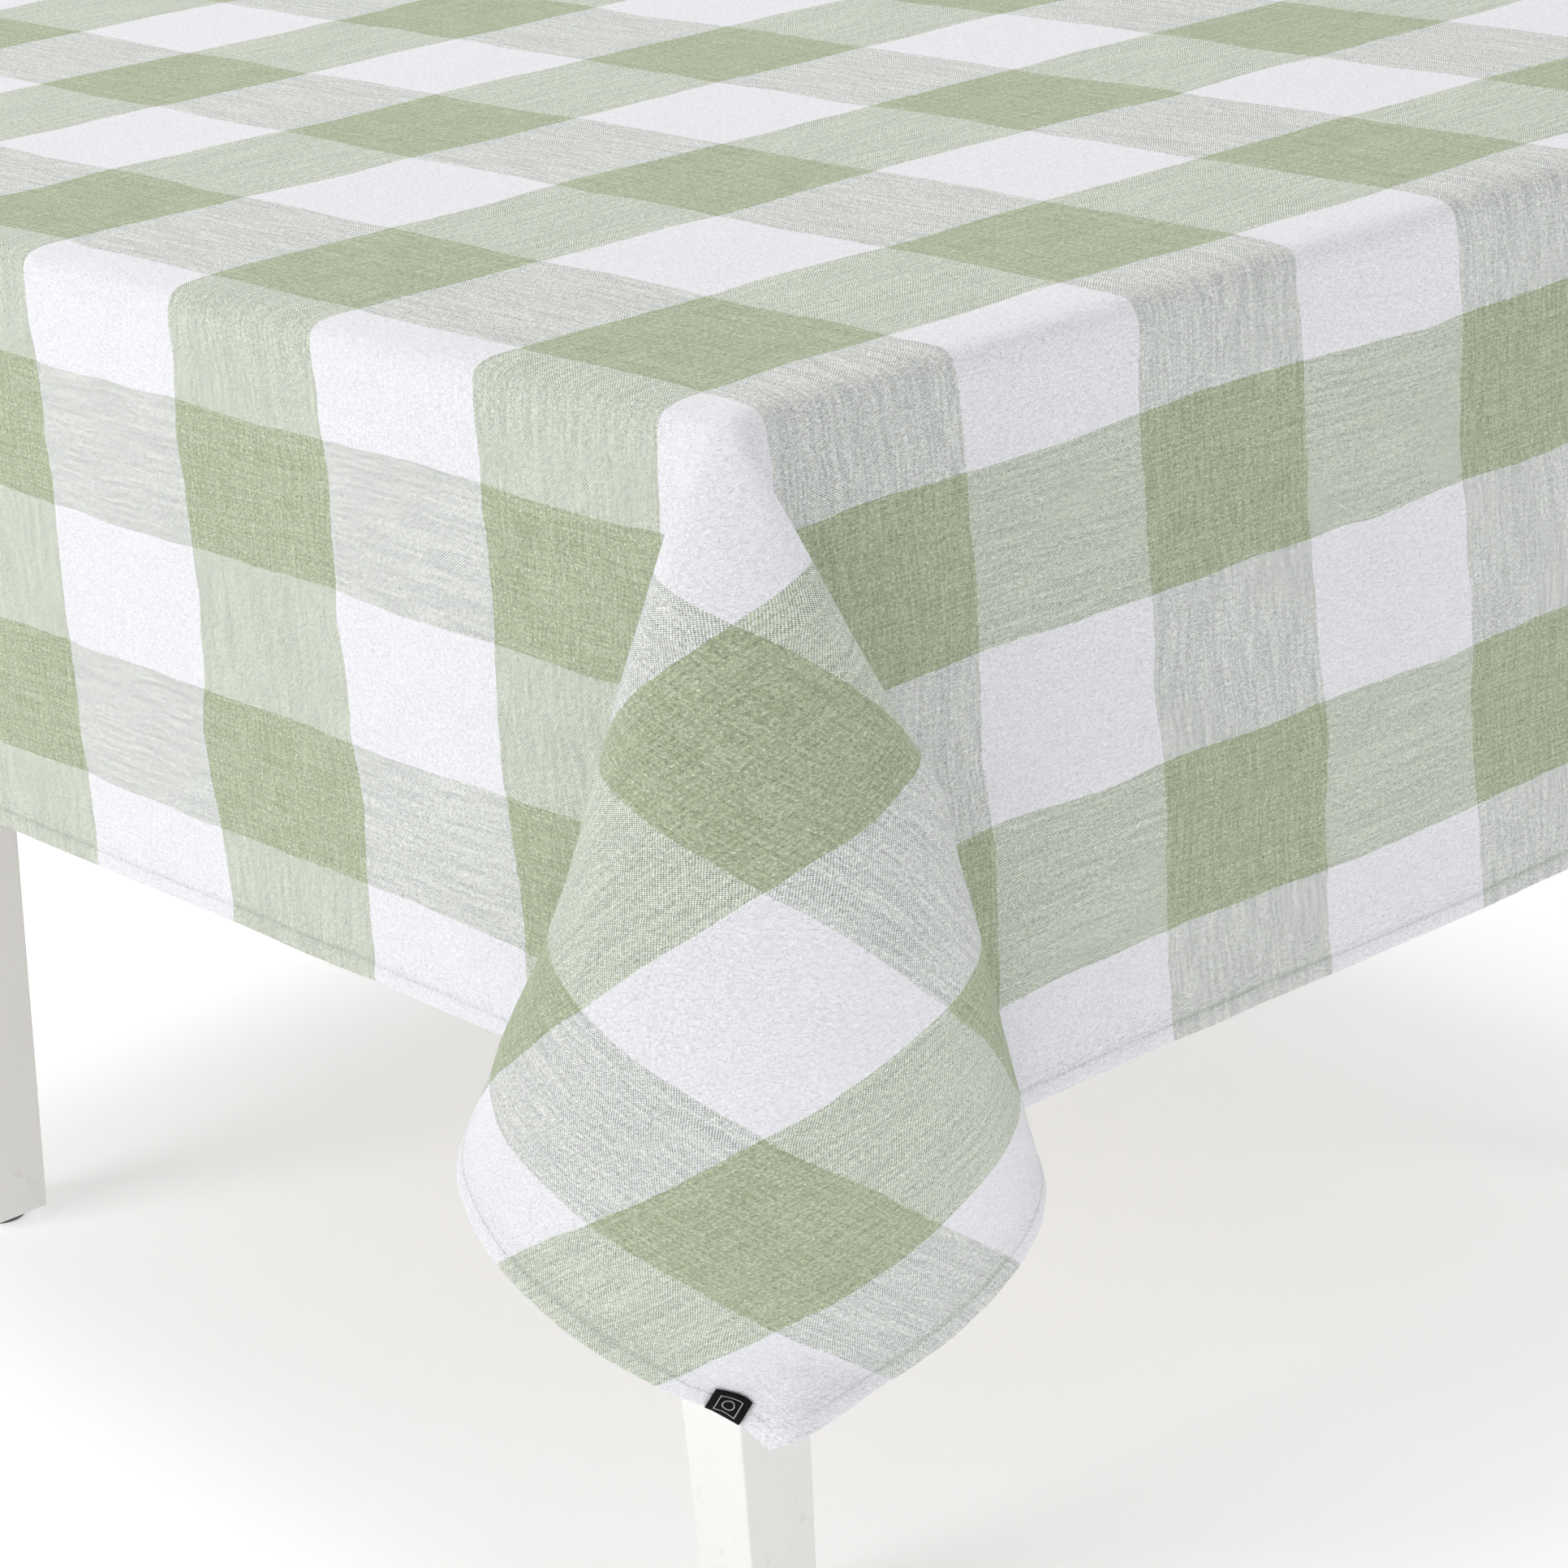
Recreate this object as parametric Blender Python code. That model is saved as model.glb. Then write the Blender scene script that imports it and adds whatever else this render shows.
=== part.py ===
"""A checked tablecloth draped over a plain wooden table.

Metres, +Z up, origin on the floor under the middle of the table. The table stands
square to the axes. The label is at the corner towards -X and -Y.
"""

import math

import bmesh
import bpy
from mathutils import Matrix, Vector

# The table: a top of planks between two end boards, on four legs set well in.
TOP_WIDTH = 1.065
TOP_LENGTH = 1.230
TABLE_HEIGHT = 0.748
TOP_THICKNESS = 0.026
PLANKS = 5
END_BOARD_WIDTH = 0.095
TOP_CORNER_RADIUS = 0.018
TOP_EDGE_ROUND = 0.012
TOP_EDGE_EASE = 0.0015
LEG_INSET_X = 0.165
LEG_INSET_Y = 0.240
LEG_SIDE = 0.066
LEG_FOOT_SIDE = 0.044
LEG_SQUARE_LENGTH = 0.150
LEG_SEAT_CHAMFER = 0.014
APRON_DEPTH = 0.095
APRON_THICKNESS = 0.022
APRON_SETBACK = 0.006
EDGE_BEVEL = 0.0015
GLIDE_RADIUS = 0.015
GLIDE_HEIGHT = 0.005

# The clips that hold the top, which hook into a groove along each apron.
GROOVE_DROP = 0.012
GROOVE_HEIGHT = 0.004
GROOVE_DEPTH = 0.009
CLIP_WIDTH = 0.016
CLIP_THICKNESS = 0.002
CLIP_TOE = 0.007
CLIP_TAB = 0.022
SCREW_RADIUS = 0.002
SCREW_HEAD_RADIUS = 0.004
SCREW_HEAD_HEIGHT = 0.0022
SCREW_BITE = 0.016
SIDE_CLIPS_OUT = 0.45

# The corner brackets, bolts and nuts.
BRACKET_HEIGHT = 0.060
BRACKET_THICKNESS = 0.0025
BRACKET_AIR = 0.008
BRACKET_WING = 0.032
BRACKET_TOP_DROP = 0.022
BOLT_RADIUS = 0.004
BOLT_BITE = 0.024
BOLT_PAST_NUT = 0.006
NUT_RADIUS = 0.0078
NUT_HEIGHT = 0.0065

# The cloth: how far it hangs, and the rounded fold in which each corner's spare cloth falls.
CLOTH_THICKNESS = 0.0016
DROP_AT_SIDES = 0.3395
DROP_AT_ENDS = 0.3755
DROP_TO_CLOTH = 0.68

# The fold's width, depth and shift are shares of the distance from the corner, its apex. It
# stands out by up to FOLD_OUT, tucks back in lower down, and leans to one side.
FOLD_HALF_WIDTH = 0.281
FOLD_DEPTH = 0.161
FOLD_OUT = 0.132
FOLD_OUT_RISE = 0.275
FOLD_TUCK = 0.334
FOLD_TUCK_POWER = 1.5
FOLD_TUCK_START = 0.151
FOLD_SHIFT = 0.039
FOLD_LEAN = 0.318
FOLD_LEAN_AT_SIDE = -0.19
FOLD_LEAN_START = 0.251
FOLD_MIDDLE = math.radians(45.9)
FOLD_FRONT = math.radians(22.5)
FOLD_BACK_REACH = 0.40
FOLD_BACK_PULL = 0.20
FOLD_GAP = 0.012
FOLD_GAP_SHARE = 0.3
FOLD_START = 0.10
FOLD_ROWS = 12
FOLD_COLUMNS = 26
FOLD_EDGE_ANGLE = math.radians(3.0)

# The label, on the hem by the tip.
LABEL_SIDE = 0.0180
LABEL_THICKNESS = 0.0009
LABEL_FROM_TIP = 0.037

CLEARANCE = 0.0003
ROUND_STEPS = 24

OAK = ((0.56, 0.38, 0.21), 0.45, 0.0)
PAINT = ((0.86, 0.85, 0.82), 0.35, 0.0)
STEEL = ((0.62, 0.62, 0.63), 0.35, 1.0)
FELT = ((0.12, 0.11, 0.10), 0.95, 0.0)
CLOTH = ((0.60, 0.64, 0.55), 0.9, 0.0)
LABEL = ((0.02, 0.02, 0.02), 0.8, 0.0)

# Each apron's name, the axis it runs along and which side of the table it is on.
APRONS = (("left", "y", -1), ("right", "y", 1), ("front", "x", -1), ("back", "x", 1))

CLOTH_TOP_Z = TABLE_HEIGHT + CLEARANCE + CLOTH_THICKNESS
TOP_UNDERSIDE = TABLE_HEIGHT - TOP_THICKNESS
FRAME_TOP = TOP_UNDERSIDE - CLEARANCE
LEG_X = TOP_WIDTH / 2 - LEG_INSET_X
LEG_Y = TOP_LENGTH / 2 - LEG_INSET_Y


def clear_scene():
    for obj in list(bpy.data.objects):
        bpy.data.objects.remove(obj, do_unlink=True)


def finish_material(name, look):
    """One Principled material, made once for each name."""
    found = bpy.data.materials.get(name)
    if found:
        return found
    colour, roughness, metallic = look
    material = bpy.data.materials.new(name)
    material.use_nodes = True
    shader = material.node_tree.nodes["Principled BSDF"]
    shader.inputs["Base Color"].default_value = (*colour, 1.0)
    shader.inputs["Roughness"].default_value = roughness
    shader.inputs["Metallic"].default_value = metallic
    return material


def add_object(name, mesh_maker, material, parent=None):
    """A new object whose mesh is what the bmesh holds. The bmesh is freed."""
    mesh = bpy.data.meshes.new(name)
    bmesh.ops.recalc_face_normals(mesh_maker, faces=mesh_maker.faces)
    mesh_maker.to_mesh(mesh)
    mesh_maker.free()
    mesh.materials.append(material)
    obj = bpy.data.objects.new(name, mesh)
    bpy.context.scene.collection.objects.link(obj)
    obj.parent = parent
    return obj


def box_mesh(low, high):
    """A block between two corners."""
    low, high = Vector(low), Vector(high)
    block = bmesh.new()
    bmesh.ops.create_cube(block, size=1.0)
    size = high - low
    bmesh.ops.scale(block, vec=size, verts=block.verts)
    bmesh.ops.translate(block, vec=(low + high) / 2, verts=block.verts)
    return block


def rod_mesh(radius, start, end, steps=ROUND_STEPS):
    """A closed cylinder or prism from start to end."""
    start, end = Vector(start), Vector(end)
    rod = bmesh.new()
    bmesh.ops.create_cone(
        rod, cap_ends=True, segments=steps, radius1=radius, radius2=radius, depth=(end - start).length
    )
    turn = Vector((0, 0, 1)).rotation_difference(end - start).to_matrix().to_4x4()
    bmesh.ops.transform(rod, matrix=Matrix.Translation((start + end) / 2) @ turn, verts=rod.verts)
    return rod


def profile_mesh(outline, depth):
    """An outline in XY, raised by depth along +Z."""
    slab = bmesh.new()
    face = slab.faces.new([slab.verts.new((x, y, 0)) for x, y in outline])
    raised = bmesh.ops.extrude_face_region(slab, geom=[face])
    top = [item for item in raised["geom"] if isinstance(item, bmesh.types.BMVert)]
    bmesh.ops.translate(slab, vec=(0, 0, depth), verts=top)
    return slab


def bevel(obj, width, segments=2):
    modifier = obj.modifiers.new("eased edges", "BEVEL")
    modifier.width = width
    modifier.segments = segments
    modifier.limit_method = "ANGLE"
    modifier.angle_limit = math.radians(40)


def cut(obj, cutter_mesh, name):
    """Cuts a hole in obj with a hidden helper."""
    helper = add_object(name, cutter_mesh, obj.data.materials[0], obj.parent)
    helper.hide_render = True
    helper.display_type = "WIRE"
    modifier = obj.modifiers.new(name, "BOOLEAN")
    modifier.operation = "DIFFERENCE"
    modifier.solver = "EXACT"
    modifier.object = helper


# Tabletop


def plank_width():
    return TOP_WIDTH / PLANKS


def on_outline(vert):
    """Whether a board's vertex is on the tabletop's top face and its outer edge."""
    past_x = abs(vert.co.x) > TOP_WIDTH / 2 - CLEARANCE
    past_y = abs(vert.co.y) > TOP_LENGTH / 2 - CLEARANCE
    corner = Vector((TOP_WIDTH, TOP_LENGTH)) / 2 - Vector((TOP_CORNER_RADIUS, TOP_CORNER_RADIUS))
    from_corner = Vector((abs(vert.co.x), abs(vert.co.y))) - corner
    round_corner = min(from_corner) > 0 and from_corner.length > TOP_CORNER_RADIUS - CLEARANCE
    return vert.co.z > TABLE_HEIGHT - CLEARANCE and (past_x or past_y or round_corner)


def round_outer_top(board):
    """Rounds a board's top edge where it is the tabletop's own edge, so that cloth lies softly."""
    outer = []
    for edge in board.edges:
        first, second = edge.verts
        halfway = (abs(first.co.x + second.co.x) / 2, abs(first.co.y + second.co.y) / 2)
        if not (on_outline(first) and on_outline(second)):
            continue
        in_x = TOP_WIDTH / 2 - halfway[0]
        in_y = TOP_LENGTH / 2 - halfway[1]
        if min(in_x, in_y) < TOP_CORNER_RADIUS / 2:
            outer.append(edge)
    if outer:
        bmesh.ops.bevel(
            board, geom=outer, offset=TOP_EDGE_ROUND, offset_type="OFFSET",
            segments=4, profile=0.5, affect="EDGES", material=-1,
        )


def make_tabletop(screw_places, parent):
    """Planks along Y between two end boards along X. Returns the boards."""
    oak = finish_material("oiled oak", OAK)
    inner_y = TOP_LENGTH / 2 - END_BOARD_WIDTH
    boards = []
    for i in range(PLANKS):
        left = -TOP_WIDTH / 2 + i * plank_width()
        low = (left + (CLEARANCE if i else 0), -inner_y + CLEARANCE, TOP_UNDERSIDE)
        high = (left + plank_width(), inner_y - CLEARANCE, TABLE_HEIGHT)
        plank = box_mesh(low, high)
        round_outer_top(plank)
        boards.append(add_object(f"tabletop_plank_{i + 1}", plank, oak, parent))
    for name, side in (("front", -1), ("back", 1)):
        ends = sorted((side * inner_y, side * TOP_LENGTH / 2))
        block = box_mesh(
            (-TOP_WIDTH / 2, ends[0], TOP_UNDERSIDE), (TOP_WIDTH / 2, ends[1], TABLE_HEIGHT)
        )
        corners = [
            edge
            for edge in block.edges
            if abs(edge.verts[0].co.z - edge.verts[1].co.z) > TOP_THICKNESS / 2
            and abs(edge.verts[0].co.y) > inner_y + END_BOARD_WIDTH / 2
        ]
        bmesh.ops.bevel(
            block, geom=corners, offset=TOP_CORNER_RADIUS, offset_type="OFFSET",
            segments=6, profile=0.5, affect="EDGES", material=-1,
        )
        round_outer_top(block)
        boards.append(add_object(f"tabletop_end_board_{name}", block, oak, parent))
    for board in boards:
        bevel(board, min(TOP_EDGE_EASE, TOP_THICKNESS / 8))
    for board in boards:
        low = Vector(board.bound_box[0])
        high = Vector(board.bound_box[6])
        for number, (x, y) in enumerate(screw_places):
            if low.x < x < high.x and low.y < y < high.y:
                hole = rod_mesh(
                    SCREW_RADIUS + CLEARANCE,
                    (x, y, TOP_UNDERSIDE - TOP_THICKNESS / 4),
                    (x, y, TOP_UNDERSIDE + SCREW_BITE + CLEARANCE),
                    12,
                )
                cut(board, hole, f"screw hole {number + 1}")
    return boards


# Legs, aprons and what joins them


def corner_name(side_x, side_y):
    return ("front" if side_y < 0 else "back") + ("_left" if side_x < 0 else "_right")


def seat_distance():
    """From a leg's middle to the flat chamfered seat at its inner corner, along the diagonal."""
    return (LEG_SIDE / 2 * 2 - LEG_SEAT_CHAMFER) / math.sqrt(2)


def bolt_height():
    return FRAME_TOP - BRACKET_TOP_DROP - BRACKET_HEIGHT / 2


def make_leg(side_x, side_y, parent):
    """Square at the top, then tapered on its two inner faces, with a chamfered seat for the bolt."""
    paint = finish_material("white painted wood", PAINT)
    half = LEG_SIDE / 2
    foot_z = GLIDE_HEIGHT + CLEARANCE
    knee_z = FRAME_TOP - LEG_SQUARE_LENGTH
    centre = Vector((side_x * LEG_X, side_y * LEG_Y, 0))
    leg = box_mesh(centre + Vector((-half, -half, foot_z)), centre + Vector((half, half, FRAME_TOP)))
    bmesh.ops.bisect_plane(
        leg, geom=leg.verts[:] + leg.edges[:] + leg.faces[:], plane_co=(0, 0, knee_z), plane_no=(0, 0, 1)
    )
    taper = LEG_SIDE - LEG_FOOT_SIDE
    for vert in leg.verts:
        if vert.co.z < foot_z + EDGE_BEVEL:
            if (vert.co.x - centre.x) * side_x < 0:
                vert.co.x += side_x * taper
            if (vert.co.y - centre.y) * side_y < 0:
                vert.co.y += side_y * taper
    inward = Vector((-side_x, -side_y, 0)).normalized()
    seat = centre + inward * seat_distance()
    chamfer = box_mesh((-half, 0, 0), (half, half, LEG_SQUARE_LENGTH))
    turn = Matrix.Rotation(math.atan2(inward.y, inward.x) - math.pi / 2, 4, "Z")
    move = Matrix.Translation((seat.x, seat.y, knee_z + EDGE_BEVEL * 2))
    bmesh.ops.transform(chamfer, matrix=move @ turn, verts=chamfer.verts)
    name = corner_name(side_x, side_y)
    obj = add_object(f"leg_{name}", leg, paint, parent)
    bevel(obj, EDGE_BEVEL)
    cut(obj, chamfer, f"seat cutter {name}")
    z = bolt_height()
    start = seat + inward * LEG_SEAT_CHAMFER
    end = seat - inward * (BOLT_BITE + CLEARANCE)
    bore = rod_mesh(BOLT_RADIUS + CLEARANCE, (start.x, start.y, z), (end.x, end.y, z))
    cut(obj, bore, f"bolt bore {name}")
    return obj


def apron_outline():
    """An apron's section: x is how far in from its outer face, y its height below the top."""
    groove_top = -GROOVE_DROP
    groove_low = groove_top - GROOVE_HEIGHT
    back = APRON_THICKNESS - GROOVE_DEPTH
    return (
        (0, 0),
        (0, -APRON_DEPTH),
        (APRON_THICKNESS, -APRON_DEPTH),
        (APRON_THICKNESS, groove_low),
        (back, groove_low),
        (back, groove_top),
        (APRON_THICKNESS, groove_top),
        (APRON_THICKNESS, 0),
    )


def make_apron(name, along, side, parent):
    """An apron between two legs, grooved inside. along is its length's axis, side its place."""
    paint = finish_material("white painted wood", PAINT)
    across, run = (LEG_Y, LEG_X) if along == "x" else (LEG_X, LEG_Y)
    length = 2 * (run - LEG_SIDE / 2 - CLEARANCE)
    outer = across + LEG_SIDE / 2 - APRON_SETBACK
    slab = profile_mesh(apron_outline(), length)
    # Columns: where the section's x and y and the extrusion go.
    inward = Vector((0, -side, 0)) if along == "x" else Vector((-side, 0, 0))
    lengthways = Vector((1, 0, 0)) if along == "x" else Vector((0, 1, 0))
    basis = Matrix((inward, Vector((0, 0, 1)), lengthways)).transposed().to_4x4()
    start = -inward * outer - lengthways * (length / 2) + Vector((0, 0, FRAME_TOP))
    bmesh.ops.transform(slab, matrix=Matrix.Translation(start) @ basis, verts=slab.verts)
    obj = add_object(f"apron_{name}", slab, paint, parent)
    bevel(obj, EDGE_BEVEL, 1)
    return obj


def apron_inner(along):
    """How far from the middle an apron's inner face is."""
    across = LEG_Y if along == "x" else LEG_X
    return across + LEG_SIDE / 2 - APRON_SETBACK - APRON_THICKNESS


def bracket_reach():
    """How far along each apron the bracket's web starts, so that it clears the leg's seat."""
    leg_past_aprons = LEG_SIDE - APRON_SETBACK - APRON_THICKNESS
    return 2 * leg_past_aprons - LEG_SEAT_CHAMFER + BRACKET_AIR


def bracket_points():
    """The middle line of a bracket from one wing to the other, in a frame whose +X and +Y run
    from the corner where the aprons' inner faces meet, along the two aprons."""
    off = CLEARANCE + BRACKET_THICKNESS / 2
    reach = bracket_reach()
    return ((reach + BRACKET_WING, off), (reach, off), (off, reach), (off, reach + BRACKET_WING))


def bracket_outline():
    """The bracket's plan: its middle line with half its thickness on either side."""
    points = [Vector(point) for point in bracket_points()]
    half = BRACKET_THICKNESS / 2
    sides = ([], [])
    for i, point in enumerate(points):
        before = (point - points[i - 1]).normalized() if i else None
        after = (points[i + 1] - point).normalized() if i < len(points) - 1 else None
        first = before or after
        second = after or before
        along = (first + second).normalized()
        normal = Vector((-along.y, along.x))
        reach = half / max(normal.dot(Vector((-first.y, first.x))), 0.5)
        sides[0].append(point + normal * reach)
        sides[1].append(point - normal * reach)
    return sides[0] + sides[1][::-1]


def make_bracket(side_x, side_y, parent):
    steel = finish_material("zinc plated steel", STEEL)
    corner = Vector((side_x * apron_inner("y"), side_y * apron_inner("x"), 0))
    plate = profile_mesh([tuple(point) for point in bracket_outline()], BRACKET_HEIGHT)
    place = Matrix.Translation((corner.x, corner.y, bolt_height() - BRACKET_HEIGHT / 2))
    flip = Matrix.Diagonal((-side_x, -side_y, 1, 1))
    bmesh.ops.transform(plate, matrix=place @ flip, verts=plate.verts)
    name = corner_name(side_x, side_y)
    obj = add_object(f"corner_bracket_{name}", plate, steel, parent)
    inward = Vector((-side_x, -side_y, 0)).normalized()
    web = corner + inward * (bracket_reach() / math.sqrt(2))
    z = bolt_height()
    reach = inward * BRACKET_THICKNESS * 4
    height = Vector((0, 0, z))
    bore = rod_mesh(BOLT_RADIUS + CLEARANCE, web - reach + height, web + reach + height)
    cut(obj, bore, f"bracket bore {name}")
    return obj


def make_bolt_and_nut(side_x, side_y, parent):
    """A bolt screwed into the leg's seat, through the bracket, with a nut on the bracket."""
    steel = finish_material("zinc plated steel", STEEL)
    name = corner_name(side_x, side_y)
    inward = Vector((-side_x, -side_y, 0)).normalized()
    height = Vector((0, 0, bolt_height()))
    seat = Vector((side_x * LEG_X, side_y * LEG_Y, 0)) + inward * seat_distance() + height
    corner = Vector((side_x * apron_inner("y"), side_y * apron_inner("x"), 0)) + height
    off = CLEARANCE + BRACKET_THICKNESS / 2
    web = corner + inward * ((bracket_reach() + off) / math.sqrt(2))
    nut_start = web + inward * (BRACKET_THICKNESS / 2 + CLEARANCE)
    nut_end = nut_start + inward * NUT_HEIGHT
    add_object(
        f"hanger_bolt_{name}",
        rod_mesh(BOLT_RADIUS, seat - inward * BOLT_BITE, nut_end + inward * BOLT_PAST_NUT),
        steel,
        parent,
    )
    nut = add_object(f"hex_nut_{name}", rod_mesh(NUT_RADIUS, nut_start, nut_end, 6), steel, parent)
    bore = rod_mesh(
        BOLT_RADIUS + CLEARANCE, nut_start - inward * NUT_HEIGHT, nut_end + inward * NUT_HEIGHT
    )
    cut(nut, bore, f"nut bore {name}")


def make_glide(side_x, side_y, parent):
    felt = finish_material("felt", FELT)
    shift = (LEG_SIDE - LEG_FOOT_SIDE) / 2
    x = side_x * (LEG_X + shift)
    y = side_y * (LEG_Y + shift)
    disc = rod_mesh(GLIDE_RADIUS, (x, y, 0), (x, y, GLIDE_HEIGHT))
    add_object(f"foot_glide_{corner_name(side_x, side_y)}", disc, felt, parent)


# Tabletop clips


def clip_places():
    """(name, middle of the apron's inner face, direction into the table) of each clip."""
    x, y = apron_inner("y"), apron_inner("x")
    along = (LEG_Y - LEG_SIDE / 2) * SIDE_CLIPS_OUT
    return (
        ("left_1", Vector((-x, -along)), Vector((1, 0))),
        ("left_2", Vector((-x, along)), Vector((1, 0))),
        ("right_1", Vector((x, -along)), Vector((-1, 0))),
        ("right_2", Vector((x, along)), Vector((-1, 0))),
        ("front", Vector((0, -y)), Vector((0, 1))),
        ("back", Vector((0, y)), Vector((0, -1))),
    )


def screw_place(face, inward):
    return face + inward * (CLIP_THICKNESS + CLIP_TAB / 2 + CLEARANCE)


def make_clip(name, face, inward, parent):
    """A Z-shaped clip: its toe in the apron's groove, its tab under the tabletop."""
    steel = finish_material("zinc plated steel", STEEL)
    toe_z = -GROOVE_DROP - GROOVE_HEIGHT / 2
    low, high = toe_z - CLIP_THICKNESS / 2, toe_z + CLIP_THICKNESS / 2
    near = CLEARANCE
    far = CLEARANCE + CLIP_THICKNESS
    outline = (
        (-CLIP_TOE, low),
        (far, low),
        (far, -CLIP_THICKNESS),
        (far + CLIP_TAB, -CLIP_THICKNESS),
        (far + CLIP_TAB, 0),
        (near, 0),
        (near, high),
        (-CLIP_TOE, high),
    )
    strip = profile_mesh(outline, CLIP_WIDTH)
    sideways = Vector((inward.y, -inward.x, 0))
    basis = Matrix((Vector((*inward, 0)), Vector((0, 0, 1)), sideways)).transposed().to_4x4()
    start = Vector((*face, FRAME_TOP)) - sideways * (CLIP_WIDTH / 2)
    bmesh.ops.transform(strip, matrix=Matrix.Translation(start) @ basis, verts=strip.verts)
    clip = add_object(f"top_clip_{name}", strip, steel, parent)
    x, y = screw_place(face, inward)
    through = rod_mesh(
        SCREW_RADIUS + CLEARANCE,
        (x, y, FRAME_TOP - CLIP_THICKNESS * 3),
        (x, y, FRAME_TOP + CLIP_THICKNESS),
        12,
    )
    cut(clip, through, f"clip hole {name}")
    head_top = FRAME_TOP - CLIP_THICKNESS - CLEARANCE
    foot = (x, y, head_top - SCREW_HEAD_HEIGHT)
    screw = rod_mesh(SCREW_RADIUS, foot, (x, y, TOP_UNDERSIDE + SCREW_BITE), 12)
    head = rod_mesh(SCREW_HEAD_RADIUS, foot, (x, y, head_top), 16)
    obj = add_object(f"clip_screw_{name}", screw, steel, parent)
    helper = add_object(f"screw head {name}", head, steel, parent)
    helper.hide_render = True
    helper.display_type = "WIRE"
    union = obj.modifiers.new("head", "BOOLEAN")
    union.operation = "UNION"
    union.solver = "EXACT"
    union.object = helper


# The cloth


def cloth_edge(half_top):
    """How far from the middle a hanging drop's outer face is."""
    return half_top + CLEARANCE + CLOTH_THICKNESS


def clear_of_drop(sideways, outward, front):
    """Keeps a fold's cloth in front of the drops, which run back from their corner at 45 degrees.

    The gap closes towards the corner at the fold's back, where front is 0, and stays open
    round its front, where front is 1, so that the cloth can be lifted past the table.
    """
    open_gap = FOLD_GAP * front
    gap = max(open_gap, min(FOLD_GAP, FOLD_GAP_SHARE * abs(sideways))) * math.sqrt(2)
    return max(outward, gap - abs(sideways))


def fold_section(reach, angle):
    """(sideways, outward) of a corner fold's cloth, at a distance and an angle from its apex.

    The angle runs from 0, straight down the side drop's end, to 90 degrees, straight down
    the end drop's. Round the front of the fold the cloth is half an ellipse. Behind it the
    cloth runs back from each side to the table's corner.
    """
    low, high = FOLD_MIDDLE - FOLD_FRONT, FOLD_MIDDLE + FOLD_FRONT
    width = FOLD_HALF_WIDTH * reach
    depth = FOLD_DEPTH * reach
    tuck = FOLD_TUCK * max(0.0, reach - FOLD_TUCK_START) ** FOLD_TUCK_POWER
    flank = FOLD_OUT * (1 - math.exp(-reach / FOLD_OUT_RISE)) - tuck - depth
    lean = FOLD_LEAN_AT_SIDE + (1 - FOLD_LEAN_AT_SIDE) * angle / (math.pi / 2)
    middle = FOLD_SHIFT * reach - FOLD_LEAN * lean * max(0.0, reach - FOLD_LEAN_START)
    if low <= angle <= high:
        swing = (angle - low) / (high - low) * math.pi
        front = min(1.0, reach / FOLD_TUCK_START) * math.sin(swing)
        sideways = middle - width * math.cos(swing)
        return sideways, clear_of_drop(sideways, flank + depth * math.sin(swing), front)
    side = -1 if angle < low else 1
    share = 1 - angle / low if angle < low else (angle - high) / (math.pi / 2 - high)
    keep = 1 - share
    # A Bezier curve from the fold's side to the corner, which is at 0, 0.
    weights = (keep**3, 3 * keep**2 * share, 3 * keep * share**2)
    back = side * width * (weights[0] + weights[1] + FOLD_BACK_REACH * weights[2])
    outward = flank * (weights[0] + weights[1]) - FOLD_BACK_PULL * width * weights[2]
    sideways = middle * keep + back
    return sideways, clear_of_drop(sideways, outward, 0.0)


def fold_point(reach, angle, side_x, side_y):
    """The world place of that cloth, on the corner at side_x, side_y."""
    sideways, outward = fold_section(reach, angle)
    fall = math.sqrt(max(reach**2 - sideways**2 - outward**2, 0.0)) * DROP_TO_CLOTH
    root = math.sqrt(0.5)
    # On the -X, -Y corner, sideways is from the side drop towards the end drop.
    x = (-outward + sideways) * root
    y = (-outward - sideways) * root
    edge_x = cloth_edge(TOP_WIDTH / 2)
    edge_y = cloth_edge(TOP_LENGTH / 2)
    return Vector((-side_x * (x - edge_x), -side_y * (y - edge_y), CLOTH_TOP_Z - fall))


def fold_reach(angle):
    """How far from the apex the hem is, in the direction angle."""
    at_sides = DROP_AT_SIDES / DROP_TO_CLOTH
    at_ends = DROP_AT_ENDS / DROP_TO_CLOTH
    return min(at_sides / max(math.cos(angle), 1e-6), at_ends / max(math.sin(angle), 1e-6))


def tip_angle():
    """The direction of the cloth's own corner, the tip."""
    return math.atan2(DROP_AT_ENDS, DROP_AT_SIDES)


def fold_angles():
    """Angles across a fold, with one at the tip."""
    half = FOLD_COLUMNS // 2
    low, high = FOLD_EDGE_ANGLE, math.pi / 2 - FOLD_EDGE_ANGLE
    first = [low + (tip_angle() - low) * i / half for i in range(half)]
    return first + [tip_angle() + (high - tip_angle()) * i / half for i in range(half + 1)]


def make_fold(side_x, side_y, parent):
    """The corner's spare cloth, as one closed sheet a little thicker than the cloth."""
    cloth = finish_material("checked cotton", CLOTH)
    angles = fold_angles()
    sheet = bmesh.new()
    bmesh.ops.create_grid(sheet, x_segments=FOLD_COLUMNS, y_segments=FOLD_ROWS, size=0.5)
    for vert in sheet.verts:
        column = round((vert.co.x + 0.5) * FOLD_COLUMNS)
        row = round((vert.co.y + 0.5) * FOLD_ROWS)
        share = FOLD_START + (1 - FOLD_START) * row / FOLD_ROWS
        angle = angles[column]
        vert.co = fold_point(fold_reach(angle) * share, angle, side_x, side_y)
    obj = add_object(f"cloth_corner_{corner_name(side_x, side_y)}", sheet, cloth, parent)
    thicken = obj.modifiers.new("cloth thickness", "SOLIDIFY")
    thicken.thickness = CLOTH_THICKNESS
    thicken.offset = 0.0
    return obj


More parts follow.
